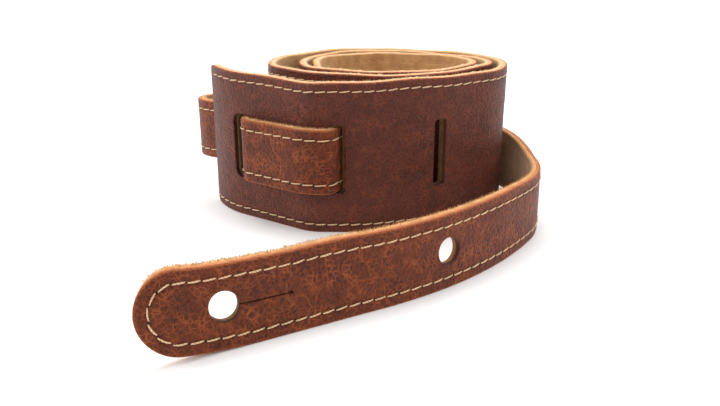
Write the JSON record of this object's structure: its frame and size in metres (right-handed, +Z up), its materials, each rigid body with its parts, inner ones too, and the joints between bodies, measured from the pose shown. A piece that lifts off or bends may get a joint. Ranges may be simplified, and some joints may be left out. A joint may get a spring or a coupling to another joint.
{
  "type": "guitar strap",
  "caption": "Wide leather instrument strap with a slotted flap, rolled on its edge, its narrow adjustable tail woven through and laid in front.",
  "frame": {"origin": "centre of the bounding box's bottom face, on the surface the strap stands on", "axes": "+Z up, along the strap's width; +Y away from the free tail in front, +X to the right seen from the front"},
  "size_m": [0.1546, 0.1954, 0.0635],
  "materials": {
    "body_backing_inner": "suede",
    "body_backing_middle": "suede",
    "body_backing_outer": "suede",
    "body_face_inner": "pebbled grain",
    "body_face_middle": "pebbled grain",
    "body_face_outer": "pebbled grain",
    "body_thread_inner": "waxed thread",
    "body_thread_middle": "waxed thread",
    "body_thread_outer": "waxed thread",
    "tail_backing_1": "suede",
    "tail_backing_2": "suede",
    "tail_backing_3": "suede",
    "tail_backing_4": "suede",
    "tail_backing_5": "suede",
    "tail_backing_6": "suede",
    "tail_backing_7": "suede",
    "tail_backing_8": "suede",
    "tail_backing_woven": "suede",
    "tail_face_1": "pebbled grain",
    "tail_face_2": "pebbled grain",
    "tail_face_3": "pebbled grain",
    "tail_face_4": "pebbled grain",
    "tail_face_5": "pebbled grain",
    "tail_face_6": "pebbled grain",
    "tail_face_7": "pebbled grain",
    "tail_face_8": "pebbled grain",
    "tail_face_woven": "pebbled grain",
    "tail_thread_1": "waxed thread",
    "tail_thread_2": "waxed thread",
    "tail_thread_3": "waxed thread",
    "tail_thread_4": "waxed thread",
    "tail_thread_5": "waxed thread",
    "tail_thread_6": "waxed thread",
    "tail_thread_7": "waxed thread",
    "tail_thread_8": "waxed thread",
    "tail_thread_woven": "waxed thread"
  },
  "bodies": {
    "coil": {"body_backing_inner": "body_backing_inner", "body_backing_middle": "body_backing_middle", "body_backing_outer": "body_backing_outer", "body_face_inner": "body_face_inner", "body_face_middle": "body_face_middle", "body_face_outer": "body_face_outer", "body_thread_inner": "body_thread_inner", "body_thread_middle": "body_thread_middle", "body_thread_outer": "body_thread_outer", "tail_backing_woven": "tail_backing_woven", "tail_face_woven": "tail_face_woven", "tail_thread_woven": "tail_thread_woven"},
    "tail_1": {"tail_face_1": "tail_face_1", "tail_backing_1": "tail_backing_1", "tail_thread_1": "tail_thread_1"},
    "tail_2": {"tail_face_2": "tail_face_2", "tail_backing_2": "tail_backing_2", "tail_thread_2": "tail_thread_2"},
    "tail_3": {"tail_face_3": "tail_face_3", "tail_backing_3": "tail_backing_3", "tail_thread_3": "tail_thread_3"},
    "tail_4": {"tail_face_4": "tail_face_4", "tail_backing_4": "tail_backing_4", "tail_thread_4": "tail_thread_4"},
    "tail_5": {"tail_face_5": "tail_face_5", "tail_backing_5": "tail_backing_5", "tail_thread_5": "tail_thread_5"},
    "tail_6": {"tail_face_6": "tail_face_6", "tail_backing_6": "tail_backing_6", "tail_thread_6": "tail_thread_6"},
    "tail_7": {"tail_face_7": "tail_face_7", "tail_backing_7": "tail_backing_7", "tail_thread_7": "tail_thread_7"},
    "tail_8": {"tail_face_8": "tail_face_8", "tail_backing_8": "tail_backing_8", "tail_thread_8": "tail_thread_8"}
  },
  "joints": [
    {"name": "tail_flex_1", "type": "hinge", "parent": "coil", "child": "tail_1", "pos_m": [-0.03563, 0.09249, 0.02602], "axis": [0, 0, 1], "range_deg": [0, 22], "stiffness_Nm_per_rad": 0.03},
    {"name": "tail_flex_2", "type": "hinge", "parent": "tail_1", "child": "tail_2", "pos_m": [0.00623, 0.09531, 0.02261], "axis": [0, 0, 1], "range_deg": [0, 22], "stiffness_Nm_per_rad": 0.03},
    {"name": "tail_flex_3", "type": "hinge", "parent": "tail_2", "child": "tail_3", "pos_m": [0.04611, 0.08497, 0.0192], "axis": [0, 0, 1], "range_deg": [0, 22], "stiffness_Nm_per_rad": 0.03},
    {"name": "tail_flex_4", "type": "hinge", "parent": "tail_3", "child": "tail_4", "pos_m": [0.07099, 0.052, 0.0158], "axis": [0, 0, 1], "range_deg": [0, 22], "stiffness_Nm_per_rad": 0.03},
    {"name": "tail_flex_5", "type": "hinge", "parent": "tail_4", "child": "tail_5", "pos_m": [0.07428, 0.01147, 0.0135], "axis": [0, 0, 1], "range_deg": [0, 22], "stiffness_Nm_per_rad": 0.03},
    {"name": "tail_flex_6", "type": "hinge", "parent": "tail_5", "child": "tail_6", "pos_m": [0.0538, -0.02354, 0.0135], "axis": [0, 0, 1], "range_deg": [-12, 20], "stiffness_Nm_per_rad": 0.03},
    {"name": "tail_flex_7", "type": "hinge", "parent": "tail_6", "child": "tail_7", "pos_m": [0.02189, -0.05217, 0.0135], "axis": [0, 0, 1], "range_deg": [-12, 20], "stiffness_Nm_per_rad": 0.03},
    {"name": "tail_flex_8", "type": "hinge", "parent": "tail_7", "child": "tail_8", "pos_m": [-0.01448, -0.07314, 0.0135], "axis": [0, 0, 1], "range_deg": [-12, 20], "stiffness_Nm_per_rad": 0.03}
  ],
  "couplings": [
    {"joint": "tail_flex_2", "follows": "tail_flex_1", "ratio": 1},
    {"joint": "tail_flex_3", "follows": "tail_flex_1", "ratio": 1},
    {"joint": "tail_flex_4", "follows": "tail_flex_1", "ratio": 1},
    {"joint": "tail_flex_5", "follows": "tail_flex_1", "ratio": 1},
    {"joint": "tail_flex_7", "follows": "tail_flex_6", "ratio": 1},
    {"joint": "tail_flex_8", "follows": "tail_flex_6", "ratio": 1}
  ]
}
